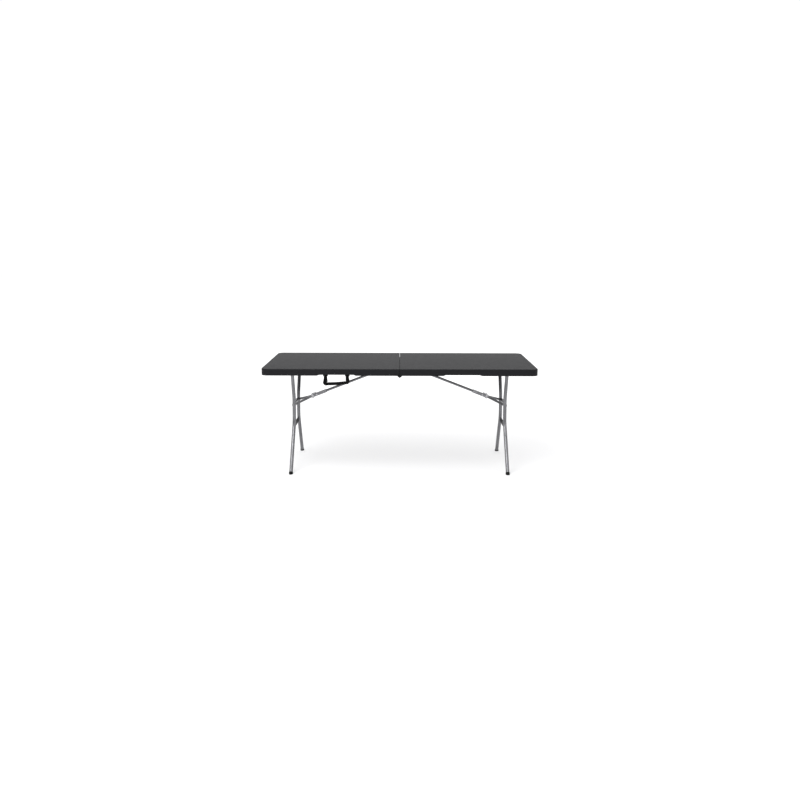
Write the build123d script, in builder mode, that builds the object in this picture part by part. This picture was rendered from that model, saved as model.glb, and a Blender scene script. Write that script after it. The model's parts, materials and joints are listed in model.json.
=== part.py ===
from build123d import *
from math import asin, atan2, cos, hypot, radians, sin
import os

# Folding table that also folds in half across the middle. Millimetres, +Z up, floor at z = 0,
# +X along the length, origin on the floor under the middle of the table.
os.makedirs("parts", exist_ok=True)

# ---- Overall ----
LENGTH = 1829.0
DEPTH = 762.0
HEIGHT = 743.0
SEAM_GAP = 2.0

# ---- Moulded top ----
TOP_THICK = 45.0
PLATE_THICK = 19.0
SKIRT_WALL = 14.0
SEAM_WALL = 12.0
CORNER_R = 44.0
TOP_EDGE_R = 5.0
SEAM_EDGE_R = 0.6
FRONT_NOTCH = [(289.0, 0.0), (303.0, 6.0), (527.0, 6.0), (545.0, 0.0)]  # distance from seam, height
GROOVE_X = (240.0, 690.0)
GROOVE_HALF_Y = 40.0
GROOVE_DEPTH = 13.5
SEAM_NOTCH_Y = (342.0, 358.0)
SEAM_NOTCH_CLEAR = 4.0  # left between the notch and the plate

# ---- Rails ----
RAIL_X = (16.0, 880.0)
RAIL_Y = (326.0, 346.0)
RAIL_TALL = 24.0
RAIL_WALL = 2.0
RAIL_SCREW_X = (110.0, 380.0, 620.0, 850.0)

# ---- Leg frame ----
PIVOT_X = 732.0
PIVOT_Z = 708.0
SPLAY = 1.0
LEG_R = 12.5
LEG_WALL = 1.5
WELD_GAP = 0.05
PIVOT_TUBE_HALF = 325.0
STUB_R = 5.5
STUB_END = 347.0
STUB_PLUG = 14.0
BUSH_R = 7.0
LEG_TOP_Y = 207.0
LEG_WAIST_Y = 115.5
LEG_FOOT_Y = 304.5
LEG_TOP_DOWN = 3.0  # distances down the leg from the pivot
LEG_WAIST_DOWN = (220.0, 390.0)
LEG_BEND_R = 150.0
TUBE_SHORT = 9.5  # the tube stops this far above the floor, inside its foot
FOOT_R = 14.0
FOOT_UP = 4.0
CROSSBAR_DOWN = 268.0
CROSSBAR_OUT = 6.0
CROSSBAR_R = 8.0
CROSSBAR_WALL = 1.5
CROSSBAR_HALF = 108.0
SPREADER_DOWN = (404.0, 442.0)
SPREADER_HALF_Y = (125.0, 146.0)  # at the top and the bottom edge
SPREADER_THICK = 4.0
SPREADER_OUT = 6.0

# ---- Folding brace ----
BRACE_PIN_X = 45.0
BRACE_PIN_Z = 710.0
LEG_FOLD = 91.0
KNUCKLE_RISE = 17.0  # how far the crossbar lies off the tube's line when folded
BRACE_R = 8.5
BRACE_WALL = 1.5
BRACE_TUBE_PAST_PIN = 9.0
BRACE_TUBE_STOP = 40.0  # short of the knuckle
CHANNEL_X = (-73.0, 42.0)
CHANNEL_HALF = 10.5
CHANNEL_WALL = 2.0
CHANNEL_TALL = 10.5
CHANNEL_RIVET_X = (-64.0, -49.0)
CHANNEL_RIVET_R = 3.0
STRUT_THICK = 4.0
STRUT_HALF_TALL = 8.0
STRUT_NECK_Y = 13.0
STRUT_NECK_X = 52.0
STRUT_EYE_Y = (84.0, 100.0)
STRUT_EYE_R = 11.5
STRUT_BENDS = [40.0, 8.0]
STRUT_RUN_IN = 14.0
KNUCKLE_RIVET_R = 4.0
KNUCKLE_HEAD_R = 6.0
KNUCKLE_HEAD = 2.0
LOCK_X = 31.0
LOCK_HALF_LONG = 7.0
LOCK_INNER = 15.2
LOCK_WALL = 2.0
LOCK_Z = (-15.0, 16.0)
LOCK_BRIDGE_X = (2.0, 12.0)
LOCK_BRIDGE_Z = (13.5, 16.0)

# ---- Brace bracket ----
BRACKET_X = (22.0, 68.0)
BRACKET_HALF_Y = 24.0
BRACKET_SHEET = 2.0
BRACKET_SCREW_INSET = 7.0
EAR_X = (36.0, 54.0)
EAR_INNER = 9.0
EAR_BOTTOM = 702.0
PIN_R = 3.0
PIN_HEAD_R = 5.0
PIN_HEAD = 1.5

# ---- Screws and fits ----
SCREW_R = 2.0
SCREW_HEAD_R = 4.0
SCREW_HEAD = 1.5
RAIL_SCREW_BITE = 10.0
BRACKET_SCREW_BITE = 8.0
RUNNING = 0.05

# ---- Centre hinge ----
HINGE_Z = 690.0
HINGE_EAR_R = 9.0
HINGE_PIN_R = 4.0
HINGE_HEAD_R = 7.0
HINGE_HEAD = 2.5
HINGE_PLATE_X = (15.0, 95.0)
HINGE_NECK_X = 31.0
HINGE_PLATE_Z = (704.0, 718.0)
HINGE_SHEET = 4.0
HINGE_SPACER_X = 18.0
HINGE_SIDE_GAP = 0.5
HINGE_RIVET_X = (44.0, 64.0, 84.0)
HINGE_RIVET_R = 3.0
HINGE_RIVET_HEAD_R = 5.0
HINGE_RIVET_HEAD = 2.0

# ---- Carry handle ----
HANDLE_Y = -357.0
HANDLE_Z = 698.0
HANDLE_ARM_X = (-490.0, -346.0)
HANDLE_ARM_WIDE = 24.0
HANDLE_GRIP_TOP = (648.0, 655.0)
HANDLE_GRIP_BOTTOM = (629.0, 638.0)
HANDLE_HALF_THICK = 4.0
HANDLE_EYE_R = 6.5
HANDLE_OUTER_R = 14.0
HANDLE_INNER_R = 7.0
HANDLE_EAR_GAP = 0.5
HANDLE_EAR_SHEET = 2.0
HANDLE_EAR_Y = (-363.0, -346.0)
HANDLE_EAR_Z = (691.0, 708.0)
HANDLE_BACK_Z = (700.0, 722.0)

# ---- Worked out ----
HALF_LENGTH = LENGTH / 2
HALF_DEPTH = DEPTH / 2
SKIRT_Z = HEIGHT - TOP_THICK
PLATE_Z = HEIGHT - PLATE_THICK
RAIL_Z = (PLATE_Z - RAIL_TALL, PLATE_Z)
RAIL_MID_Y = sum(RAIL_Y) / 2
SIDES = {"left": -1, "right": 1}
ENDS = {"front": -1, "rear": 1}

# The brace lies straight from its pin to the crossbar when the leg stands. Its two lengths are set so
# that it is folded flat, one length over the other, when the leg is folded.
splay = radians(SPLAY)
leg_down = (sin(splay), -cos(splay))
leg_out = (cos(splay), sin(splay))
crossbar = (
    PIVOT_X + CROSSBAR_DOWN * leg_down[0] + CROSSBAR_OUT * leg_out[0],
    PIVOT_Z + CROSSBAR_DOWN * leg_down[1] + CROSSBAR_OUT * leg_out[1],
)
turn = radians(LEG_FOLD)
swing = (crossbar[0] - PIVOT_X, crossbar[1] - PIVOT_Z)
folded = (
    PIVOT_X + swing[0] * cos(turn) + swing[1] * sin(turn),
    PIVOT_Z - swing[0] * sin(turn) + swing[1] * cos(turn),
)
reach = hypot(crossbar[0] - BRACE_PIN_X, crossbar[1] - BRACE_PIN_Z)
folded_reach = hypot(folded[0] - BRACE_PIN_X, folded[1] - BRACE_PIN_Z)
folded_slope = asin(KNUCKLE_RISE / folded_reach)
UPPER = (reach**2 - folded_reach**2) / (2 * (reach - folded_reach * cos(folded_slope)))
LOWER = reach - UPPER
slope = atan2(BRACE_PIN_Z - crossbar[1], crossbar[0] - BRACE_PIN_X)
knuckle = (BRACE_PIN_X + UPPER * cos(slope), BRACE_PIN_Z - UPPER * sin(slope))


def block(x, y, z, mode=Mode.ADD):
    """A box from its lowest and highest x, y and z."""
    centre = (sum(x) / 2, sum(y) / 2, sum(z) / 2)
    with Locations(centre):
        Box(abs(x[1] - x[0]), abs(y[1] - y[0]), abs(z[1] - z[0]), mode=mode)


def round_x(y, z, radius, x, mode=Mode.ADD):
    """A cylinder along X, from x[0] to x[1]."""
    with Locations((sum(x) / 2, y, z)):
        Cylinder(radius, abs(x[1] - x[0]), rotation=(0, 90, 0), mode=mode)


def round_y(x, z, radius, y, mode=Mode.ADD):
    """A cylinder along Y, from y[0] to y[1]."""
    with Locations((x, sum(y) / 2, z)):
        Cylinder(radius, abs(y[1] - y[0]), rotation=(90, 0, 0), mode=mode)


def round_z(x, y, radius, z, mode=Mode.ADD):
    """A cylinder along Z, from z[0] to z[1]."""
    with Locations((x, y, sum(z) / 2)):
        Cylinder(radius, abs(z[1] - z[0]), mode=mode)


def side_x(side, low, high):
    """The x range that is low to high from the seam on one side."""
    return (side * low, side * high)


def end_y(end, low, high):
    """The y range that is low to high from the middle at the front or the rear."""
    return (end * low, end * high)


def finish(part, label):
    """Label a finished piece and write it."""
    part.part.label = label
    export_step(part.part, f"parts/{label}.step")


def rail_screw_places(side):
    """Where the rail screws go, in plan."""
    return [(side * x, end * RAIL_MID_Y) for x in RAIL_SCREW_X for end in ENDS.values()]


def bracket_screw_places(side):
    """Where the screws of the brace bracket go, in plan."""
    rows = (BRACKET_X[0] + BRACKET_SCREW_INSET, BRACKET_X[1] - BRACKET_SCREW_INSET)
    half_y = BRACKET_HALF_Y - BRACKET_SCREW_INSET
    return [(side * x, y) for x in rows for y in (-half_y, half_y)]


def hinge_sheet_y(side):
    """How far from the middle a hinge plate starts; the right one lies outside the left one."""
    return RAIL_Y[1] if side < 0 else RAIL_Y[1] + HINGE_SHEET + HINGE_SIDE_GAP


# ---- Moulded top halves ----
for name, side in SIDES.items():
    with BuildPart() as top:
        with BuildSketch(Plane.XY.offset(SKIRT_Z)) as plan:
            with Locations((side * (HALF_LENGTH + SEAM_GAP / 2) / 2, 0)):
                Rectangle(HALF_LENGTH - SEAM_GAP / 2, DEPTH)
            fillet(plan.vertices().group_by(Axis.X)[0 if side < 0 else -1], CORNER_R)
        extrude(amount=TOP_THICK)
        rim = top.faces().sort_by(Axis.Z)[-1].edges()
        seam_edge = rim.sort_by(Axis.X)[-1 if side < 0 else 0]
        fillet(rim - ShapeList([seam_edge]), TOP_EDGE_R)
        across = top.edges().filter_by(Axis.Y).group_by(Axis.Z)[-1]
        fillet(across.sort_by(Axis.X)[-1 if side < 0 else 0], SEAM_EDGE_R)
        with BuildSketch(Plane.XY.offset(SKIRT_Z)) as pocket:
            inner = (SEAM_GAP / 2 + SEAM_WALL, HALF_LENGTH - SKIRT_WALL)
            with Locations((side * sum(inner) / 2, 0)):
                Rectangle(inner[1] - inner[0], DEPTH - 2 * SKIRT_WALL)
            fillet(pocket.vertices().group_by(Axis.X)[0 if side < 0 else -1], CORNER_R - SKIRT_WALL)
        extrude(amount=PLATE_Z - SKIRT_Z, mode=Mode.SUBTRACT)
        block(
            side_x(side, *GROOVE_X),
            (-GROOVE_HALF_Y, GROOVE_HALF_Y),
            (PLATE_Z, PLATE_Z + GROOVE_DEPTH),
            Mode.SUBTRACT,
        )
        for end in ENDS.values():
            block(
                side_x(side, 0, SEAM_GAP + SEAM_WALL),
                end_y(end, *SEAM_NOTCH_Y),
                (SKIRT_Z, PLATE_Z - SEAM_NOTCH_CLEAR),
                Mode.SUBTRACT,
            )
        with BuildSketch(Plane.XZ.offset(HALF_DEPTH - SKIRT_WALL)):
            with BuildLine():
                Polyline(*[(side * x, SKIRT_Z + up) for x, up in FRONT_NOTCH], close=True)
            make_face()
        extrude(amount=SKIRT_WALL, mode=Mode.SUBTRACT)
        for x, y in rail_screw_places(side):
            round_z(x, y, SCREW_R, (PLATE_Z, PLATE_Z + RAIL_SCREW_BITE), Mode.SUBTRACT)
        for x, y in bracket_screw_places(side):
            round_z(x, y, SCREW_R, (PLATE_Z, PLATE_Z + BRACKET_SCREW_BITE), Mode.SUBTRACT)
    finish(top, f"{name}_top")

# ---- Rails, their screws and the leg pivot bushes ----
for name, side in SIDES.items():
    for end_name, end in ENDS.items():
        with BuildPart() as rail:
            block(side_x(side, *RAIL_X), end_y(end, *RAIL_Y), RAIL_Z)
            block(
                side_x(side, *RAIL_X),
                end_y(end, RAIL_Y[0] + RAIL_WALL, RAIL_Y[1] - RAIL_WALL),
                (RAIL_Z[0] + RAIL_WALL, RAIL_Z[1] - RAIL_WALL),
                Mode.SUBTRACT,
            )
            round_y(side * PIVOT_X, PIVOT_Z, BUSH_R, end_y(end, *RAIL_Y), Mode.SUBTRACT)
            for x in RAIL_SCREW_X:
                round_z(side * x, end * RAIL_MID_Y, SCREW_R, RAIL_Z, Mode.SUBTRACT)
            for x in HINGE_RIVET_X:
                round_y(
                    side * x,
                    sum(HINGE_PLATE_Z) / 2,
                    HINGE_RIVET_R,
                    end_y(end, RAIL_Y[1] - RAIL_WALL, RAIL_Y[1]),
                    Mode.SUBTRACT,
                )
        finish(rail, f"{name}_{end_name}_rail")

    with BuildPart() as screws:
        for x, y in rail_screw_places(side):
            round_z(x, y, SCREW_R, (RAIL_Z[0], PLATE_Z + RAIL_SCREW_BITE))
            round_z(x, y, SCREW_HEAD_R, (RAIL_Z[0] - SCREW_HEAD, RAIL_Z[0]))
    finish(screws, f"{name}_rail_screws")

    with BuildPart() as bushes:
        for end in ENDS.values():
            round_y(side * PIVOT_X, PIVOT_Z, BUSH_R, end_y(end, *RAIL_Y))
            round_y(side * PIVOT_X, PIVOT_Z, STUB_R + RUNNING, end_y(end, *RAIL_Y), Mode.SUBTRACT)
    finish(bushes, f"{name}_pivot_bushes")

# ---- Leg frames ----
leg_length = PIVOT_Z / cos(splay)
foot_slant = (LEG_FOOT_Y - LEG_WAIST_Y) / (leg_length - LEG_WAIST_DOWN[1])
tube_end_down = leg_length - TUBE_SHORT
tube_end_y = LEG_FOOT_Y - TUBE_SHORT * foot_slant


def leg_frame_plane(side, out=0.0):
    """The plane of a leg frame: local x is Y, local y is up the leg, moved out from the pivot."""
    origin = (side * (PIVOT_X + out * leg_out[0]), 0, PIVOT_Z + out * leg_out[1])
    return Plane(origin=origin, x_dir=(0, 1, 0), z_dir=(cos(splay), 0, side * sin(splay)))


for name, side in SIDES.items():
    plane = leg_frame_plane(side)
    outsides = {}
    for end_name, end in ENDS.items():
        with BuildLine(plane) as route:
            FilletPolyline(
                (end * LEG_TOP_Y, -LEG_TOP_DOWN),
                (end * LEG_WAIST_Y, -LEG_WAIST_DOWN[0]),
                (end * LEG_WAIST_Y, -LEG_WAIST_DOWN[1]),
                (end * tube_end_y, -tube_end_down),
                radius=LEG_BEND_R,
            )
        path = route.wire()

        # The outside of the tube, used to shape the pieces welded or fitted to it.
        with BuildPart() as outside:
            with BuildSketch(Plane(origin=path @ 0, z_dir=path % 0)):
                Circle(LEG_R + WELD_GAP)
            sweep(path=path)
        outsides[end_name] = outside.part

        with BuildPart() as leg:
            with BuildSketch(Plane(origin=path @ 0, z_dir=path % 0)):
                Circle(LEG_R)
                Circle(LEG_R - LEG_WALL, mode=Mode.SUBTRACT)
            sweep(path=path)
            saddle = (-PIVOT_TUBE_HALF, PIVOT_TUBE_HALF)
            round_y(side * PIVOT_X, PIVOT_Z, LEG_R + WELD_GAP, saddle, Mode.SUBTRACT)
        finish(leg, f"{name}_{end_name}_leg")

        with BuildPart() as foot:
            with BuildSketch(Plane(origin=path @ 1 - FOOT_UP * (path % 1), z_dir=path % 1)):
                Circle(FOOT_R)
            extrude(amount=FOOT_UP + 2 * FOOT_R)
            split(bisect_by=Plane.XY, keep=Keep.TOP)
            add(outside.part, mode=Mode.SUBTRACT)
        finish(foot, f"{name}_{end_name}_foot")

    with BuildPart() as pivot_tube:
        whole = (-PIVOT_TUBE_HALF, PIVOT_TUBE_HALF)
        round_y(side * PIVOT_X, PIVOT_Z, LEG_R, whole)
        round_y(side * PIVOT_X, PIVOT_Z, LEG_R - LEG_WALL, whole, Mode.SUBTRACT)
    finish(pivot_tube, f"{name}_pivot_tube")

    with BuildPart() as studs:
        for end in ENDS.values():
            plug = end_y(end, PIVOT_TUBE_HALF - STUB_PLUG, PIVOT_TUBE_HALF)
            round_y(side * PIVOT_X, PIVOT_Z, LEG_R - LEG_WALL, plug)
            round_y(side * PIVOT_X, PIVOT_Z, STUB_R, end_y(end, PIVOT_TUBE_HALF, STUB_END))
    finish(studs, f"{name}_pivot_studs")

    with BuildPart() as bar:
        whole = (-CROSSBAR_HALF, CROSSBAR_HALF)
        round_y(side * crossbar[0], crossbar[1], CROSSBAR_R, whole)
        round_y(side * crossbar[0], crossbar[1], CROSSBAR_R - CROSSBAR_WALL, whole, Mode.SUBTRACT)
        for outside_part in outsides.values():
            add(outside_part, mode=Mode.SUBTRACT)
    finish(bar, f"{name}_leg_crossbar")

    with BuildPart() as spreader:
        with BuildSketch(leg_frame_plane(side, SPREADER_OUT).offset(-SPREADER_THICK / 2)):
            with BuildLine():
                Polyline(
                    (-SPREADER_HALF_Y[0], -SPREADER_DOWN[0]),
                    (SPREADER_HALF_Y[0], -SPREADER_DOWN[0]),
                    (SPREADER_HALF_Y[1], -SPREADER_DOWN[1]),
                    (-SPREADER_HALF_Y[1], -SPREADER_DOWN[1]),
                    close=True,
                )
            make_face()
        extrude(amount=SPREADER_THICK)
        for outside_part in outsides.values():
            add(outside_part, mode=Mode.SUBTRACT)
    finish(spreader, f"{name}_leg_spreader")

# ---- Folding braces ----
for name, side in SIDES.items():
    # Local x runs down the brace from the knuckle to the crossbar, local y is across, local z is up.
    brace = Plane(
        origin=(side * knuckle[0], 0, knuckle[1]),
        x_dir=(side * cos(slope), 0, -sin(slope)),
        z_dir=(side * sin(slope), 0, cos(slope)),
    )

    with BuildPart(brace) as tube:
        length = (-UPPER - BRACE_TUBE_PAST_PIN, -BRACE_TUBE_STOP)
        round_x(0, 0, BRACE_R, length)
        round_x(0, 0, BRACE_R - BRACE_WALL, length, Mode.SUBTRACT)
        round_y(-UPPER, 0, PIN_R + RUNNING, (-BRACE_R, BRACE_R), Mode.SUBTRACT)
        for x in CHANNEL_RIVET_X:
            round_y(x, 0, CHANNEL_RIVET_R, (-BRACE_R, BRACE_R), Mode.SUBTRACT)
    finish(tube, f"{name}_brace_tube")

    with BuildPart(brace) as channel:
        inner = CHANNEL_HALF - CHANNEL_WALL
        block(CHANNEL_X, (-CHANNEL_HALF, CHANNEL_HALF), (-CHANNEL_TALL, CHANNEL_TALL))
        block(CHANNEL_X, (-inner, inner), (-CHANNEL_TALL, CHANNEL_TALL - CHANNEL_WALL), Mode.SUBTRACT)
        for x in CHANNEL_RIVET_X:
            round_y(x, 0, CHANNEL_RIVET_R, (-CHANNEL_HALF, CHANNEL_HALF), Mode.SUBTRACT)
    finish(channel, f"{name}_knuckle_channel")

    with BuildPart(brace) as rivets:
        for x in CHANNEL_RIVET_X:
            round_y(x, 0, CHANNEL_RIVET_R, (-CHANNEL_HALF, CHANNEL_HALF))
    finish(rivets, f"{name}_brace_rivets")

    for end_name, end in ENDS.items():
        eye_mid = sum(STRUT_EYE_Y) / 2
        neck = (STRUT_NECK_Y - STRUT_THICK / 2, STRUT_NECK_Y + STRUT_THICK / 2)
        with BuildPart(brace) as strut:
            with BuildSketch(brace.offset(-STRUT_HALF_TALL)):
                with BuildLine() as run:
                    FilletPolyline(
                        (0, end * STRUT_NECK_Y),
                        (STRUT_NECK_X, end * STRUT_NECK_Y),
                        (LOWER - STRUT_RUN_IN, end * eye_mid),
                        (LOWER, end * eye_mid),
                        radius=STRUT_BENDS,
                    )
                trace(line_width=STRUT_THICK)
            extrude(amount=2 * STRUT_HALF_TALL)
            round_y(0, 0, STRUT_HALF_TALL, end_y(end, *neck))
            round_y(0, 0, KNUCKLE_RIVET_R, end_y(end, *neck), Mode.SUBTRACT)
            round_y(LOWER, 0, STRUT_EYE_R, end_y(end, *STRUT_EYE_Y))
            round_y(LOWER, 0, CROSSBAR_R + RUNNING, end_y(end, *STRUT_EYE_Y), Mode.SUBTRACT)
        finish(strut, f"{name}_{end_name}_strut")

    with BuildPart(brace) as knuckle_rivets:
        for end in ENDS.values():
            round_y(0, 0, KNUCKLE_RIVET_R, end_y(end, *neck))
            round_y(0, 0, KNUCKLE_HEAD_R, end_y(end, neck[1], neck[1] + KNUCKLE_HEAD))
    finish(knuckle_rivets, f"{name}_knuckle_rivets")

    with BuildPart(brace) as lock:
        outer = LOCK_INNER + LOCK_WALL
        for end in ENDS.values():
            cheek = end_y(end, LOCK_INNER, outer)
            block((LOCK_X - LOCK_HALF_LONG, LOCK_X + LOCK_HALF_LONG), cheek, LOCK_Z)
            block((LOCK_BRIDGE_X[0], LOCK_X), cheek, LOCK_BRIDGE_Z)
        block(LOCK_BRIDGE_X, (-outer, outer), LOCK_BRIDGE_Z)
    finish(lock, f"{name}_brace_lock")

    with BuildPart() as bracket:
        base_z = (PLATE_Z - BRACKET_SHEET, PLATE_Z)
        block(side_x(side, *BRACKET_X), (-BRACKET_HALF_Y, BRACKET_HALF_Y), base_z)
        for end in ENDS.values():
            ear = (EAR_INNER, EAR_INNER + BRACKET_SHEET)
            block(side_x(side, *EAR_X), end_y(end, *ear), (EAR_BOTTOM, PLATE_Z))
            round_y(side * BRACE_PIN_X, BRACE_PIN_Z, PIN_R, end_y(end, *ear), Mode.SUBTRACT)
        for x, y in bracket_screw_places(side):
            round_z(x, y, SCREW_R, base_z, Mode.SUBTRACT)
    finish(bracket, f"{name}_brace_bracket")

    with BuildPart() as pin:
        shank = EAR_INNER + BRACKET_SHEET
        round_y(side * BRACE_PIN_X, BRACE_PIN_Z, PIN_R, (-shank, shank))
        for end in ENDS.values():
            round_y(side * BRACE_PIN_X, BRACE_PIN_Z, PIN_HEAD_R, end_y(end, shank, shank + PIN_HEAD))
    finish(pin, f"{name}_brace_pin")

    with BuildPart() as bracket_screws:
        for x, y in bracket_screw_places(side):
            round_z(x, y, SCREW_R, (base_z[0], PLATE_Z + BRACKET_SCREW_BITE))
            round_z(x, y, SCREW_HEAD_R, (base_z[0] - SCREW_HEAD, base_z[0]))
    finish(bracket_screws, f"{name}_bracket_screws")

# ---- Centre hinge ----
for name, side in SIDES.items():
    sheet = (hinge_sheet_y(side), hinge_sheet_y(side) + HINGE_SHEET)
    for end_name, end in ENDS.items():
        with BuildPart() as plate:
            with BuildSketch(Plane.XZ.offset(-end * sheet[0] if end > 0 else sheet[0])):
                with Locations((side * (HINGE_PLATE_X[0] + HINGE_NECK_X) / 2, sum(HINGE_PLATE_Z) / 2)):
                    Rectangle(HINGE_NECK_X - HINGE_PLATE_X[0], HINGE_PLATE_Z[1] - HINGE_PLATE_Z[0])
                with Locations((0, HINGE_Z)):
                    Circle(HINGE_EAR_R)
                make_hull()
            extrude(amount=-end * HINGE_SHEET)
            block(side_x(side, *HINGE_PLATE_X), end_y(end, *sheet), HINGE_PLATE_Z)
            if sheet[0] > RAIL_Y[1]:
                spacer = side_x(side, HINGE_SPACER_X, HINGE_PLATE_X[1])
                block(spacer, end_y(end, RAIL_Y[1], sheet[0]), HINGE_PLATE_Z)
            bore = HINGE_PIN_R if side < 0 else HINGE_PIN_R + RUNNING
            round_y(0, HINGE_Z, bore, end_y(end, *sheet), Mode.SUBTRACT)
            for x in HINGE_RIVET_X:
                through = end_y(end, RAIL_Y[1], sheet[1])
                round_y(side * x, sum(HINGE_PLATE_Z) / 2, HINGE_RIVET_R, through, Mode.SUBTRACT)
        finish(plate, f"{name}_{end_name}_hinge_plate")

    with BuildPart() as hinge_rivets:
        for end in ENDS.values():
            for x in HINGE_RIVET_X:
                z = sum(HINGE_PLATE_Z) / 2
                shank = end_y(end, RAIL_Y[1] - RAIL_WALL, sheet[1])
                head = end_y(end, sheet[1], sheet[1] + HINGE_RIVET_HEAD)
                round_y(side * x, z, HINGE_RIVET_R, shank)
                round_y(side * x, z, HINGE_RIVET_HEAD_R, head)
    finish(hinge_rivets, f"{name}_hinge_rivets")

for end_name, end in ENDS.items():
    with BuildPart() as hinge_pin:
        reach_y = (RAIL_Y[1], hinge_sheet_y(1) + HINGE_SHEET)
        round_y(0, HINGE_Z, HINGE_PIN_R, end_y(end, *reach_y))
        round_y(0, HINGE_Z, HINGE_HEAD_R, end_y(end, reach_y[0] - HINGE_HEAD, reach_y[0]))
        round_y(0, HINGE_Z, HINGE_HEAD_R, end_y(end, reach_y[1], reach_y[1] + HINGE_HEAD))
    finish(hinge_pin, f"{end_name}_hinge_pin")

# ---- Carry handle ----
arm_half = HANDLE_ARM_WIDE / 2
window_top = HANDLE_Z + HANDLE_EYE_R
outer_x = (HANDLE_ARM_X[0] - arm_half, HANDLE_ARM_X[1] + arm_half)
inner_x = (HANDLE_ARM_X[0] + arm_half, HANDLE_ARM_X[1] - arm_half)
with BuildPart() as handle:
    with BuildSketch(Plane.XZ.offset(-HANDLE_Y - HANDLE_HALF_THICK)) as face:
        with BuildLine():
            Polyline(
                (outer_x[0], HANDLE_Z),
                (outer_x[0], HANDLE_GRIP_BOTTOM[0]),
                (outer_x[1], HANDLE_GRIP_BOTTOM[1]),
                (outer_x[1], HANDLE_Z),
                close=True,
            )
        make_face()
        fillet(face.vertices().sort_by(Axis.Y)[:2], HANDLE_OUTER_R)
        with BuildSketch(mode=Mode.SUBTRACT) as window:
            with BuildLine():
                Polyline(
                    (inner_x[0], window_top),
                    (inner_x[0], HANDLE_GRIP_TOP[0]),
                    (inner_x[1], HANDLE_GRIP_TOP[1]),
                    (inner_x[1], window_top),
                    close=True,
                )
            make_face()
            fillet(window.vertices().sort_by(Axis.Y)[:2], HANDLE_INNER_R)
    extrude(amount=2 * HANDLE_HALF_THICK)
    for x in HANDLE_ARM_X:
        arm = (x - arm_half, x + arm_half)
        round_x(HANDLE_Y, HANDLE_Z, HANDLE_EYE_R, arm)
        round_x(HANDLE_Y, HANDLE_Z, PIN_R + RUNNING, arm, Mode.SUBTRACT)
finish(handle, "carry_handle")

ear_gap = arm_half + HANDLE_EAR_GAP
ear_out = ear_gap + HANDLE_EAR_SHEET
with BuildPart() as handle_brackets:
    for x in HANDLE_ARM_X:
        block((x - ear_out, x + ear_out), (-RAIL_Y[1] - BRACKET_SHEET, -RAIL_Y[1]), HANDLE_BACK_Z)
        for hand in (-1, 1):
            ear = (x + hand * ear_gap, x + hand * ear_out)
            block(ear, HANDLE_EAR_Y, HANDLE_EAR_Z)
            round_x(HANDLE_Y, HANDLE_Z, PIN_R, ear, Mode.SUBTRACT)
finish(handle_brackets, "handle_brackets")

with BuildPart() as handle_pins:
    for x in HANDLE_ARM_X:
        round_x(HANDLE_Y, HANDLE_Z, PIN_R, (x - ear_out, x + ear_out))
        for hand in (-1, 1):
            round_x(HANDLE_Y, HANDLE_Z, PIN_HEAD_R, (x + hand * ear_out, x + hand * (ear_out + PIN_HEAD)))
finish(handle_pins, "handle_pins")
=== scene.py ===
import json
from math import cos, pi, radians, sin

import bmesh
import bpy
from mathutils import Matrix, Vector


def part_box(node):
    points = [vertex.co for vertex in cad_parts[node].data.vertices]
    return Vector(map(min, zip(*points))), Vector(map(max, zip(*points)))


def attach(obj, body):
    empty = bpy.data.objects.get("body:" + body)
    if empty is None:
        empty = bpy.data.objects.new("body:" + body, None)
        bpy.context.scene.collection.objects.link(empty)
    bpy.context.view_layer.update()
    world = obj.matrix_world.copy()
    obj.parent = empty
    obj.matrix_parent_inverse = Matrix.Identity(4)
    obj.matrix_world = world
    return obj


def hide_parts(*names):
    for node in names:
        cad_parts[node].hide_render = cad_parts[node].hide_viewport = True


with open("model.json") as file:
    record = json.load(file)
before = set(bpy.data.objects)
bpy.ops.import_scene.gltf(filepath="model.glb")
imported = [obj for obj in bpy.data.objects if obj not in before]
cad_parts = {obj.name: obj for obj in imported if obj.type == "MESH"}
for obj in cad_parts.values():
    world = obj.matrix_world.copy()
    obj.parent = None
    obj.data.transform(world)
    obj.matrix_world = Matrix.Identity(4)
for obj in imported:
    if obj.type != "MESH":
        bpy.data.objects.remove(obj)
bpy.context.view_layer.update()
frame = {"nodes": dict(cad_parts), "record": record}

NODES = frame["nodes"]
SIDES = {"left": -1, "right": 1}
ENDS = {"front": -1, "rear": 1}
scene = bpy.context.scene

# ---------------------------------------------------------------- camera
CAMERA_AT = (0.003, -5.2165, 1.5413)
CAMERA_DOWN = 11.7365
CAMERA_ROLL = 0.16
CAMERA_LENS = 33.58
SENSOR_WIDTH = 36.0
SIGHT_REACH = 200.0

lens = bpy.data.cameras.new("camera")
lens.lens = CAMERA_LENS
lens.sensor_width = SENSOR_WIDTH
lens.clip_end = SIGHT_REACH
camera = bpy.data.objects.new("camera", lens)
scene.collection.objects.link(camera)
look = Matrix.Rotation(radians(90 - CAMERA_DOWN), 4, "X") @ Matrix.Rotation(radians(CAMERA_ROLL), 4, "Z")
camera.matrix_world = Matrix.Translation(CAMERA_AT) @ look
scene.camera = camera


# ---------------------------------------------------------------- materials
BEVEL_SAMPLES = 4
# The bevelled normal's agreement with the true one, at full wear and at none.
EDGE_TURN = (0.80, 0.98)


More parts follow.
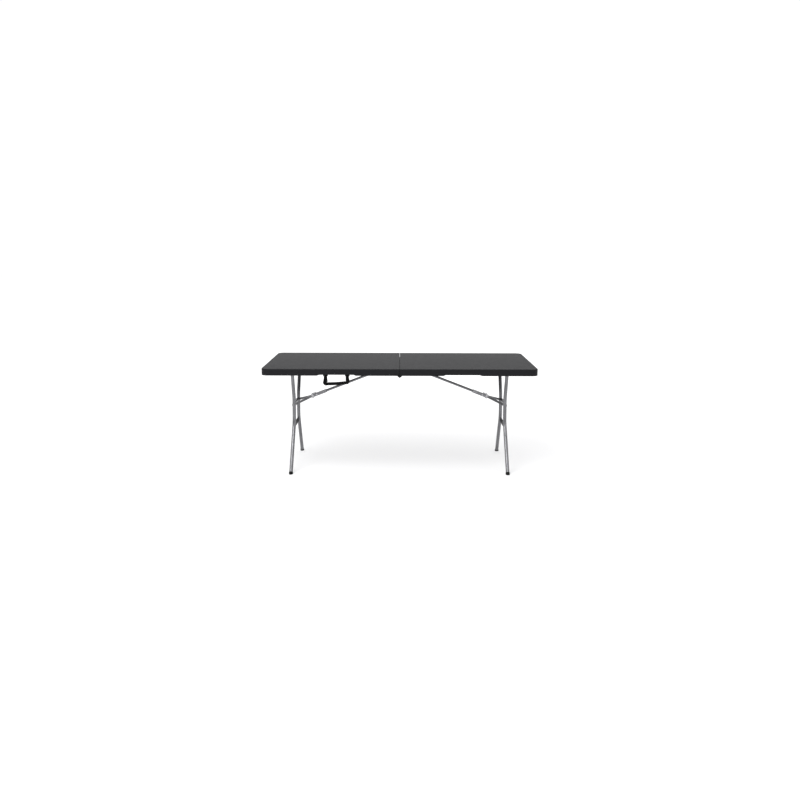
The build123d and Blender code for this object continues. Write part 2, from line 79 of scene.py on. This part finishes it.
class Nodes:
    """Short calls for building one material's node tree."""

    def __init__(self, name):
        self.material = bpy.data.materials.new(name)
        self.material.use_nodes = True
        self.tree = self.material.node_tree
        self.shader = self.tree.nodes["Principled BSDF"]
        coordinates = self.tree.nodes.new("ShaderNodeTexCoord")
        self.place = coordinates.outputs["Object"]

    def link(self, output, socket):
        self.tree.links.new(output, socket)

    def set(self, **values):
        """Sets the shader's own sockets, named with underscores for spaces."""
        for name, value in values.items():
            self.shader.inputs[name.replace("_", " ")].default_value = value

    def stretch(self, scale):
        """The object's coordinates, scaled by a factor for each axis."""
        node = self.tree.nodes.new("ShaderNodeMapping")
        node.inputs["Scale"].default_value = scale
        self.link(self.place, node.inputs["Vector"])
        return node.outputs["Vector"]

    def noise(self, scale, detail=3.0, rough=0.5, place=None):
        node = self.tree.nodes.new("ShaderNodeTexNoise")
        node.inputs["Scale"].default_value = scale
        node.inputs["Detail"].default_value = detail
        node.inputs["Roughness"].default_value = rough
        self.link(place or self.place, node.inputs["Vector"])
        return node.outputs["Fac"]

    def cells(self, scale):
        node = self.tree.nodes.new("ShaderNodeTexVoronoi")
        node.feature = "SMOOTH_F1"
        node.inputs["Scale"].default_value = scale
        self.link(self.place, node.inputs["Vector"])
        return node.outputs["Distance"]

    def ramp(self, value, *stops):
        """A colour ramp through stops of (position, grey or colour)."""
        node = self.tree.nodes.new("ShaderNodeValToRGB")
        steps = node.color_ramp.elements
        while len(steps) < len(stops):
            steps.new(0.5)
        for step, (position, colour) in zip(steps, stops):
            step.position = position
            step.color = (colour,) * 3 + (1.0,) if isinstance(colour, float) else (*colour, 1.0)
        self.link(value, node.inputs["Fac"])
        return node.outputs["Color"]

    def mix(self, a, b, amount, blend="MIX"):
        node = self.tree.nodes.new("ShaderNodeMix")
        node.data_type = "RGBA"
        node.blend_type = blend
        for socket, value in ((node.inputs["Factor"], amount), (node.inputs["A"], a), (node.inputs["B"], b)):
            if isinstance(value, bpy.types.NodeSocket):
                self.link(value, socket)
            elif socket.type == "RGBA":
                socket.default_value = (*value, 1.0)
            else:
                socket.default_value = value
        return node.outputs["Result"]

    def add(self, a, b, share):
        """a plus a share of b."""
        node = self.tree.nodes.new("ShaderNodeMath")
        node.operation = "MULTIPLY_ADD"
        self.link(b, node.inputs[0])
        node.inputs[1].default_value = share
        self.link(a, node.inputs[2])
        return node.outputs["Value"]

    def edges(self, reach, wear):
        """The wear's amount on edges and 0 on flats, from how far a bevel turns the normal."""
        bevel = self.tree.nodes.new("ShaderNodeBevel")
        bevel.samples = BEVEL_SAMPLES
        bevel.inputs["Radius"].default_value = reach
        geometry = self.tree.nodes.new("ShaderNodeNewGeometry")
        dot = self.tree.nodes.new("ShaderNodeVectorMath")
        dot.operation = "DOT_PRODUCT"
        self.link(bevel.outputs["Normal"], dot.inputs[0])
        self.link(geometry.outputs["Normal"], dot.inputs[1])
        return self.ramp(dot.outputs["Value"], (EDGE_TURN[0], wear), (EDGE_TURN[1], 0.0))

    def bump(self, height, distance, strength):
        node = self.tree.nodes.new("ShaderNodeBump")
        node.inputs["Distance"].default_value = distance
        node.inputs["Strength"].default_value = strength
        self.link(height, node.inputs["Height"])
        self.link(node.outputs["Normal"], self.shader.inputs["Normal"])

    def colour(self, output):
        self.link(output, self.shader.inputs["Base Color"])

    def roughness(self, output):
        self.link(output, self.shader.inputs["Roughness"])


def moulded_plastic(name, dark, light, pebble, depth, rough, specular):
    """Moulded polyethylene: a pebbled grain, faint flow mottling and scuffed, greyer edges."""
    nodes = Nodes(name)
    nodes.set(IOR=1.5, Specular_IOR_Level=specular)
    mottle = nodes.ramp(nodes.noise(38.0, 5.0, 0.6), (0.3, dark), (0.7, light))
    specks = nodes.ramp(nodes.noise(900.0, 2.0), (0.45, 0.0), (0.75, 0.25))
    scuffed = tuple(channel * 1.6 + 0.004 for channel in light)
    nodes.colour(nodes.mix(nodes.mix(mottle, light, specks), scuffed, nodes.edges(0.0015, 0.35)))
    nodes.roughness(nodes.ramp(nodes.noise(24.0, 5.0), (0.3, rough - 0.02), (0.7, rough + 0.02)))
    grain = nodes.add(nodes.cells(pebble), nodes.noise(pebble * 2.6, 3.0), 0.4)
    nodes.bump(grain, depth, 0.6)
    return nodes.material


def powder_coat(name, dark, light, metallic, rough, coat, specular):
    """Powder-coated steel: orange peel, fine metal flake, and bare metal showing at edges."""
    nodes = Nodes(name)
    nodes.set(Metallic=metallic, IOR=1.5, Coat_Weight=coat, Coat_Roughness=0.25, Specular_IOR_Level=specular)
    tone = nodes.ramp(nodes.noise(14.0, 4.0), (0.3, dark), (0.7, light))
    flake = nodes.ramp(nodes.noise(2600.0, 1.0), (0.55, 0.0), (0.75, 0.5))
    bright = tuple(min(1.0, channel * 1.5 + 0.05) for channel in light)
    nodes.colour(nodes.mix(nodes.mix(tone, bright, flake), bright, nodes.edges(0.0004, 0.3)))
    nodes.roughness(nodes.ramp(nodes.noise(40.0, 4.0), (0.3, rough - 0.06), (0.7, rough + 0.08)))
    peel = nodes.add(nodes.noise(420.0, 2.0), nodes.noise(60.0, 2.0), 0.5)
    nodes.bump(peel, 0.00025, 0.35)
    return nodes.material


def zinc_plate(name):
    """Zinc-plated pressed steel: drawn lines and cloudy passivation."""
    nodes = Nodes(name)
    nodes.set(Metallic=0.9)
    cloud = nodes.ramp(nodes.noise(60.0, 5.0, 0.6), (0.3, (0.34, 0.34, 0.35)), (0.7, (0.52, 0.52, 0.54)))
    drawn = nodes.noise(320.0, 3.0, place=nodes.stretch((0.08, 1.0, 1.0)))
    shade = nodes.ramp(drawn, (0.3, 0.75), (0.7, 1.0))
    nodes.colour(nodes.mix(cloud, shade, 0.5, "MULTIPLY"))
    nodes.roughness(nodes.ramp(nodes.noise(120.0, 4.0), (0.3, 0.28), (0.7, 0.46)))
    nodes.bump(drawn, 0.0001, 0.4)
    return nodes.material


def rubber(name):
    """Moulded rubber: near black, matt, with fine pores and dust where it meets the floor."""
    nodes = Nodes(name)
    nodes.set(Specular_IOR_Level=0.15)
    tone = nodes.ramp(nodes.noise(70.0, 4.0), (0.35, 0.003), (0.7, 0.008))
    height = nodes.tree.nodes.new("ShaderNodeSeparateXYZ")
    nodes.link(nodes.place, height.inputs["Vector"])
    dust = nodes.ramp(height.outputs["Z"], (0.0, 0.2), (0.003, 0.0))
    nodes.colour(nodes.mix(tone, (0.09, 0.085, 0.08), dust))
    nodes.roughness(nodes.ramp(nodes.noise(150.0, 3.0), (0.3, 0.62), (0.7, 0.8)))
    nodes.bump(nodes.noise(900.0, 3.0), 0.0003, 0.5)
    return nodes.material


def nylon(name):
    """Natural nylon: warm off-white, slightly translucent, with faint mould texture."""
    nodes = Nodes(name)
    nodes.set(Subsurface_Weight=0.15, Subsurface_Scale=0.003)
    nodes.colour(nodes.ramp(nodes.noise(80.0, 4.0), (0.3, (0.62, 0.60, 0.55)), (0.7, (0.74, 0.72, 0.67))))
    nodes.roughness(nodes.ramp(nodes.noise(120.0, 3.0), (0.3, 0.35), (0.7, 0.5)))
    nodes.bump(nodes.noise(500.0, 3.0), 0.0002, 0.4)
    return nodes.material


TOP = moulded_plastic("top_plastic", dark=(0.0028, 0.0028, 0.0040), light=(0.0044, 0.0044, 0.0060),
                      pebble=420.0, depth=0.0006, rough=0.54, specular=0.18)
GRIP = moulded_plastic("grip_plastic", dark=(0.0016, 0.0016, 0.0018), light=(0.003, 0.003, 0.0034),
                       pebble=900.0, depth=0.0003, rough=0.58, specular=0.06)
TUBE = powder_coat("silver_coat", dark=(0.135, 0.135, 0.142), light=(0.185, 0.185, 0.195),
                   metallic=0.8, rough=0.33, coat=0.25, specular=0.5)
RAIL = powder_coat("rail_coat", dark=(0.16, 0.16, 0.167), light=(0.22, 0.22, 0.229),
                   metallic=0.6, rough=0.42, coat=0.2, specular=0.5)
BLACK = powder_coat("black_coat", dark=(0.004, 0.004, 0.0044), light=(0.007, 0.007, 0.0078),
                    metallic=0.0, rough=0.5, coat=0.0, specular=0.05)
ZINC = zinc_plate("zinc")
RUBBER = rubber("rubber")
NYLON = nylon("nylon")
BY_SLOT = {"top": TOP, "tube": TUBE, "rail": RAIL, "black_steel": BLACK, "zinc": ZINC, "rubber": RUBBER,
           "grip": GRIP, "nylon": NYLON}
SLOT_OF = {part["node"]: part["material_slot"] for part in frame["record"]["subparts"]}

for node_name, node in NODES.items():
    node.data.materials.clear()
    node.data.materials.append(BY_SLOT[SLOT_OF[node_name]])


# ---------------------------------------------------------------- mesh helpers
def object_from(build, name):
    """An object from a bmesh, as it is."""
    mesh = bpy.data.meshes.new(name)
    build.to_mesh(mesh)
    build.free()
    piece = bpy.data.objects.new(name, mesh)
    scene.collection.objects.link(piece)
    return piece


def solid_from(build, name):
    """An object from a closed bmesh, with its faces turned outward."""
    bmesh.ops.recalc_face_normals(build, faces=build.faces)
    return object_from(build, name)


def smooth(piece, angle):
    """Smooth shading, with edges sharper than the angle kept crisp."""
    piece.data.polygons.foreach_set("use_smooth", [True] * len(piece.data.polygons))
    piece.data.set_sharp_from_angle(angle=radians(angle))


def finish_piece(piece, body, slot, angle):
    """Gives a piece its slot's material and smooth shading, and lets it ride on its body."""
    piece.data.materials.clear()
    piece.data.materials.append(BY_SLOT[slot])
    smooth(piece, angle)
    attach(piece, body)


def ring_about(centre, axis, radius, steps):
    """Points round a circle."""
    across = axis.orthogonal().normalized()
    over = axis.cross(across).normalized()
    turns = [2 * pi * step / steps for step in range(steps)]
    return [centre + radius * (cos(turn) * across + sin(turn) * over) for turn in turns]


def skin(build, rings):
    """Faces round and between rings of vertices, and over both ends."""
    sides = len(rings[0])
    for ring, after in zip(rings, rings[1:]):
        for part in range(sides):
            beside = (part + 1) % sides
            build.faces.new((ring[part], ring[beside], after[beside], after[part]))
    build.faces.new(rings[0])
    build.faces.new(list(reversed(rings[-1])))


# ---------------------------------------------------------------- moulded tops
DIMPLE_PITCH = 0.052
DIMPLE_R = 0.0115
DIMPLE_DEPTH = 0.007
DIMPLE_SIDES = 20
DIMPLE_START = (0.034, 0.072)
DIMPLE_ROW_RISE = 0.87
DIMPLE_TO_RAIL = 0.006
# Shares of a dimple's depth and of its radius, from its mouth up.
DIMPLE_LEVELS = ((0.0, 1.0), (0.45, 0.84), (0.85, 0.6), (1.0, 0.42))
CUTTER_DROP = 0.002
TOP_CREASE = 28.0
WELD_REACH = 1e-6
LAP_ROOT = 0.006
LAP_OUT = 0.0006
LAP_Y = ((-0.376, -0.360), (-0.340, 0.340), (0.360, 0.376))
LAP_Z = {"left": (0.700, 0.706), "right": (0.708, 0.714)}


def dimple_places(side):
    """Centres of the moulded dimples under a half, clear of the groove, rails, brackets and walls."""
    _, right_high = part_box("right_top")
    rail_low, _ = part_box("left_rear_rail")
    start_x, y = DIMPLE_START
    places = []
    row = 0
    while y < rail_low.y - DIMPLE_R - DIMPLE_TO_RAIL:
        x = start_x + (row % 2) * DIMPLE_PITCH / 2
        while x < right_high.x - start_x:
            places += [(side * x, y), (side * x, -y)]
            x += DIMPLE_PITCH
        y += DIMPLE_PITCH * DIMPLE_ROW_RISE
        row += 1
    return places


def dimple_cutter(side, plate_z):
    """Flared cups that stand into the plate from its underside."""
    build = bmesh.new()
    turns = [2 * pi * step / DIMPLE_SIDES for step in range(DIMPLE_SIDES)]
    levels = [(plate_z - CUTTER_DROP, DIMPLE_R)]
    levels += [(plate_z + share * DIMPLE_DEPTH, DIMPLE_R * width) for share, width in DIMPLE_LEVELS]
    for x, y in dimple_places(side):
        rings = []
        for z, radius in levels:
            points = [(x + radius * cos(turn), y + radius * sin(turn), z) for turn in turns]
            rings.append([build.verts.new(point) for point in points])
        skin(build, rings)
    return solid_from(build, "dimple_cutter")


def lap_boxes(name, side):
    """Ledges on the seam wall that reach past the middle, above or below the other half's."""
    build = bmesh.new()
    corners = [(x, y, z) for x in (0, 1) for y in (0, 1) for z in (0, 1)]
    x_range = (side * LAP_ROOT, -side * LAP_OUT)
    for y_range in LAP_Y:
        box = [build.verts.new([ends[pick] for ends, pick in zip((x_range, y_range, LAP_Z[name]), corner)])
               for corner in corners]
        bmesh.ops.convex_hull(build, input=box)
    return solid_from(build, "lap_boxes")


def add_boolean(piece, operation, tool):
    """An exact boolean modifier on the piece."""
    change = piece.modifiers.new(tool.name, "BOOLEAN")
    change.operation = operation
    change.solver = "EXACT"
    change.object = tool


def moulded_top(name, side):
    """A top half with its seam laps, and with dimples moulded into its underside."""
    _, rail_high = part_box(f"{name}_rear_rail")
    build = bmesh.new()
    build.from_mesh(NODES[f"{name}_top"].data)
    bmesh.ops.remove_doubles(build, verts=build.verts, dist=WELD_REACH)
    piece = object_from(build, f"{name}_moulded_top")
    cutter = dimple_cutter(side, rail_high.z)
    laps = lap_boxes(name, side)
    add_boolean(piece, "DIFFERENCE", cutter)
    add_boolean(piece, "UNION", laps)
    bpy.context.view_layer.update()
    finished = bpy.data.meshes.new_from_object(piece.evaluated_get(bpy.context.evaluated_depsgraph_get()))
    piece.modifiers.clear()
    piece.data = finished
    bpy.data.objects.remove(cutter)
    bpy.data.objects.remove(laps)
    finish_piece(piece, f"{name}_half", "top", TOP_CREASE)
    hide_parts(f"{name}_top")


for name, side in SIDES.items():
    moulded_top(name, side)

# ---------------------------------------------------------------- carry handle
EYE_LONG = 0.024
ARM_NECK = 0.022
ARM_THICK = 0.0082
GRIP_WIDE = 0.0205
GRIP_THICK = 0.0118
GRIP_RISE = 0.008
GRIP_SAG = 0.002
CORNER_BEND = 0.010
CORNER_INNER = 0.0095
CORNER_OUTER = {"left": 0.0175, "right": 0.0155}
ARM_FOOT_INNER = {"left": 0.0160, "right": 0.0115}
STRAND_GROOVE = 0.2
GROOVE_SHARE = 0.3
SQUARENESS = 3
ROUND_SIDES = 36
EYE_SIDES = 28
# Shares of an eye's half length along the pin, and of its radius.
EYE_PROFILE = ((-1.0, 0.82), (-0.94, 0.97), (-0.88, 1.0), (-0.1, 1.0), (-0.06, 0.9),
               (0.06, 0.9), (0.1, 1.0), (0.88, 1.0), (0.94, 0.97), (1.0, 0.82))
HANDLE_CREASE = 40.0
ARM_STEPS = 8
BEND_STEPS = 12
GRIP_STEPS = 22


def between(start, stop, share):
    """The value a share of the way from start to stop."""
    return start + (stop - start) * share


def handle_arm(x, y, top, corner, outer, foot_inner):
    """Stations down one arm: point, outer and inner half width, and thickness."""
    stations = []
    for step in range(ARM_STEPS):
        share = step / ARM_STEPS
        point = Vector((x, y, between(top, corner + CORNER_BEND, share)))
        inner = between(ARM_NECK / 2, foot_inner, share**2)
        stations.append((point, between(ARM_NECK / 2, outer, share**2), inner, ARM_THICK))
    return stations


def handle_corner(x, y, corner, hand, outer, foot_inner):
    """Stations round a corner, from the foot of an arm to the end of the grip."""
    stations = []
    for step in range(BEND_STEPS + 1):
        share = step / BEND_STEPS
        turn = share * pi / 2
        x_in = hand * CORNER_BEND * (1 - cos(turn))
        point = Vector((x + x_in, y, corner + CORNER_BEND * (1 - sin(turn))))
        wide = between(outer, GRIP_WIDE / 2, share**2)
        inner = min(between(foot_inner, GRIP_WIDE / 2, share), CORNER_INNER)
        stations.append((point, wide, inner, between(ARM_THICK, GRIP_THICK, share)))
    return stations


def handle_stations():
    """Stations down the left arm, along the grip and up the right arm."""
    low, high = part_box("carry_handle")
    y = (low.y + high.y) / 2
    top = high.z - (high.y - low.y) / 2
    left, right = low.x + EYE_LONG / 2, high.x - EYE_LONG / 2
    level = {"left": low.z + GRIP_WIDE / 2, "right": low.z + GRIP_WIDE / 2 + GRIP_RISE}
    down = handle_arm(left, y, top, level["left"], CORNER_OUTER["left"], ARM_FOOT_INNER["left"])
    down += handle_corner(left, y, level["left"], 1, CORNER_OUTER["left"], ARM_FOOT_INNER["left"])
    up = handle_arm(right, y, top, level["right"], CORNER_OUTER["right"], ARM_FOOT_INNER["right"])
    up += handle_corner(right, y, level["right"], -1, CORNER_OUTER["right"], ARM_FOOT_INNER["right"])
    grip = []
    for step in range(1, GRIP_STEPS):
        share = step / GRIP_STEPS
        x = between(left + CORNER_BEND, right - CORNER_BEND, share)
        z = between(level["left"], level["right"], share) - GRIP_SAG * sin(pi * share)
        grip.append((Vector((x, y, z)), GRIP_WIDE / 2, GRIP_WIDE / 2, GRIP_THICK))
    return down + grip + list(reversed(up))


def handle_section(outer, inner, thick):
    """One cross-section: two rounded strands side by side, as offsets across the path and along Y."""
    section = []
    for part in range(ROUND_SIDES):
        turn = 2 * pi * part / ROUND_SIDES
        across, over = cos(turn), sin(turn)
        flat = (abs(across) ** SQUARENESS + abs(over) ** SQUARENESS) ** (-1 / SQUARENESS)
        groove = 1.0 - STRAND_GROOVE * max(0.0, 1.0 - (across / GROOVE_SHARE) ** 2)
        reach = outer if across > 0 else inner
        section.append((across * flat * reach, over * flat * groove * thick / 2))
    return section


def carry_handle():
    """The moulded handle: a double-stranded loop with an eye at the head of each arm."""
    build = bmesh.new()
    stations = handle_stations()
    rings = []
    for step, (point, outer, inner, thick) in enumerate(stations):
        before = stations[max(step - 1, 0)][0]
        after = stations[min(step + 1, len(stations) - 1)][0]
        across = Vector((0, 1, 0)).cross((after - before).normalized()).normalized()
        offsets = handle_section(outer, inner, thick)
        rings.append([build.verts.new(point + u * across + Vector((0, v, 0))) for u, v in offsets])
    skin(build, rings)
    low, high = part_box("carry_handle")
    eye_r = (high.y - low.y) / 2
    for centre_x in (low.x + EYE_LONG / 2, high.x - EYE_LONG / 2):
        hoops = []
        for along, width in EYE_PROFILE:
            at = Vector((centre_x + along * EYE_LONG / 2, (low.y + high.y) / 2, high.z - eye_r))
            hoop = ring_about(at, Vector((1, 0, 0)), eye_r * width, EYE_SIDES)
            hoops.append([build.verts.new(point) for point in hoop])
        skin(build, hoops)
    handle = solid_from(build, "moulded_carry_handle")
    finish_piece(handle, "handle", "grip", HANDLE_CREASE)
    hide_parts("carry_handle")


carry_handle()

# ---------------------------------------------------------------- weld beads
WELD_R = 0.0016
WELD_RIPPLE = 0.22
WELD_SIDES = 8
WELD_STEPS = 44
WELD_INSET = 0.0035
WELD_CREASE = 60.0


def weld_bead(name, rim, body):
    """A rippled weld bead along a closed loop of points."""
    build = bmesh.new()
    count = len(rim)
    rings = []
    for step, point in enumerate(rim):
        ahead = (rim[(step + 1) % count] - rim[step - 1]).normalized()
        across = ahead.orthogonal().normalized()
        over = ahead.cross(across)
        swell = WELD_R * (1.0 + WELD_RIPPLE * cos(step * pi))
        ring = []
        for part in range(WELD_SIDES):
            turn = 2 * pi * part / WELD_SIDES
            ring.append(build.verts.new(point + swell * (cos(turn) * across + sin(turn) * over)))
        rings.append(ring)
    for step in range(count):
        ring, after = rings[step], rings[(step + 1) % count]
        # Two rings may start at different turns, so the nearest vertices are paired.
        gap = min(range(WELD_SIDES), key=lambda part: (after[part].co - ring[0].co).length)
        after = after[gap:] + after[:gap]
        for part in range(WELD_SIDES):
            beside = (part + 1) % WELD_SIDES
            build.faces.new((ring[part], ring[beside], after[beside], after[part]))
    finish_piece(solid_from(build, name), body, "tube", WELD_CREASE)


for name, side in SIDES.items():
    bar_low, bar_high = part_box(f"{name}_leg_crossbar")
    bar = (bar_low + bar_high) / 2
    bar_r = (bar_high.z - bar_low.z) / 2
    for end_name, end in ENDS.items():
        centre = Vector((bar.x, end * (bar_high.y - WELD_INSET), bar.z))
        rim = ring_about(centre, Vector((0, end, 0)), bar_r, WELD_STEPS)
        weld_bead(f"{name}_{end_name}_crossbar_weld", rim, f"{name}_leg")

# ---------------------------------------------------------------- floor and light
FLOOR_HALF = 30.0
FLOOR_DROP = 0.0005
FLOOR_COLOUR = (0.45, 0.45, 0.455, 1.0)
WHITE = (1.0, 1.0, 1.0, 1.0)
# Distances from the origin, and the floor's glow at them: the dimmer glow near the object is painted shade.
GLOW_REACH = (1.2, 3.6)
GLOW = (0.50, 0.80)


def stage_floor():
    """A plain pale floor that glows to read as white, with the object's soft shadow under it deepened by
    painted shade.
    """
    build = bmesh.new()
    corners = ((-1, -1), (1, -1), (1, 1), (-1, 1))
    build.faces.new([build.verts.new((FLOOR_HALF * x, FLOOR_HALF * y, -FLOOR_DROP)) for x, y in corners])
    floor = object_from(build, "floor")
    paint = bpy.data.materials.new("floor_paint")
    paint.use_nodes = True
    shader = paint.node_tree.nodes["Principled BSDF"]
    shader.inputs["Base Color"].default_value = FLOOR_COLOUR
    shader.inputs["Roughness"].default_value = 0.9
    shader.inputs["Specular IOR Level"].default_value = 0.1
    shader.inputs["Emission Color"].default_value = WHITE
    # The glow rises outwards from under the object: painted shade that deepens the shadow near the object,
    # while the far floor glows white.
    place = paint.node_tree.nodes.new("ShaderNodeTexCoord")
    away = paint.node_tree.nodes.new("ShaderNodeVectorMath")
    away.operation = "LENGTH"
    paint.node_tree.links.new(place.outputs["Object"], away.inputs[0])
    glow = paint.node_tree.nodes.new("ShaderNodeMapRange")
    for socket, value in zip(("From Min", "From Max", "To Min", "To Max"), (*GLOW_REACH, *GLOW)):
        glow.inputs[socket].default_value = value
    paint.node_tree.links.new(away.outputs["Value"], glow.inputs["Value"])
    paint.node_tree.links.new(glow.outputs["Result"], shader.inputs["Emission Strength"])
    floor.data.materials.append(paint)


def soft_light(name, place, aim, size, power):
    """A large square area light aimed at a point."""
    data = bpy.data.lights.new(name, "AREA")
    data.shape = "SQUARE"
    data.size = size
    data.energy = power
    light = bpy.data.objects.new(name, data)
    light.location = place
    light.rotation_euler = (Vector(aim) - Vector(place)).to_track_quat("-Z", "Y").to_euler()
    scene.collection.objects.link(light)


stage_floor()
soft_light("key", place=(-1.6, -2.4, 3.6), aim=(0, 0, 0.5), size=2.4, power=165.0)
soft_light("fill", place=(2.6, -3.0, 2.2), aim=(0, 0, 0.5), size=2.6, power=28.0)
soft_light("overhead", place=(0.0, 0.4, 4.2), aim=(0, 0, 0.6), size=3.4, power=50.0)

# ---------------------------------------------------------------- studio walls
WALL_WHITE = 1.02
FRONT_SHARE = 0.60
REAR_SHARE = 1.38
# Steps from straight down to straight up, and the grey at each.
WALL_LIGHT = ((0.0, 0.30), (0.5, 0.42), (0.62, 0.75), (1.0, 0.95))


def studio_walls():
    """Walls that are white to look at and dimmer as light, darkest at the front and low down."""
    world = bpy.data.worlds.new("studio")
    world.use_nodes = True
    nodes, link = world.node_tree.nodes, world.node_tree.links.new
    shown = nodes["Background"]
    shown.inputs["Color"].default_value = WHITE
    shown.inputs["Strength"].default_value = WALL_WHITE
    lit = nodes.new("ShaderNodeBackground")
    direction = nodes.new("ShaderNodeTexCoord")
    split = nodes.new("ShaderNodeSeparateXYZ")
    link(direction.outputs["Generated"], split.inputs["Vector"])

    def spread(axis, low, high):
        """A value from low to high as the direction turns from one end of an axis to the other."""
        node = nodes.new("ShaderNodeMapRange")
        for socket, value in zip(("From Min", "From Max", "To Min", "To Max"), (-1.0, 1.0, low, high)):
            node.inputs[socket].default_value = value
        link(split.outputs[axis], node.inputs["Value"])
        return node.outputs["Result"]

    link(spread("Y", FRONT_SHARE, REAR_SHARE), lit.inputs["Strength"])
    fade = nodes.new("ShaderNodeValToRGB")
    steps = fade.color_ramp.elements
    while len(steps) < len(WALL_LIGHT):
        steps.new(0.5)
    for step, (position, grey) in zip(steps, WALL_LIGHT):
        step.position = position
        step.color = (grey, grey, grey, 1.0)
    link(spread("Z", 0.0, 1.0), fade.inputs["Fac"])
    link(fade.outputs["Color"], lit.inputs["Color"])
    path = nodes.new("ShaderNodeLightPath")
    choose = nodes.new("ShaderNodeMixShader")
    link(path.outputs["Is Camera Ray"], choose.inputs["Fac"])
    link(lit.outputs["Background"], choose.inputs[1])
    link(shown.outputs["Background"], choose.inputs[2])
    link(choose.outputs["Shader"], nodes["World Output"].inputs["Surface"])
    scene.world = world


studio_walls()
scene.view_settings.view_transform = "Standard"
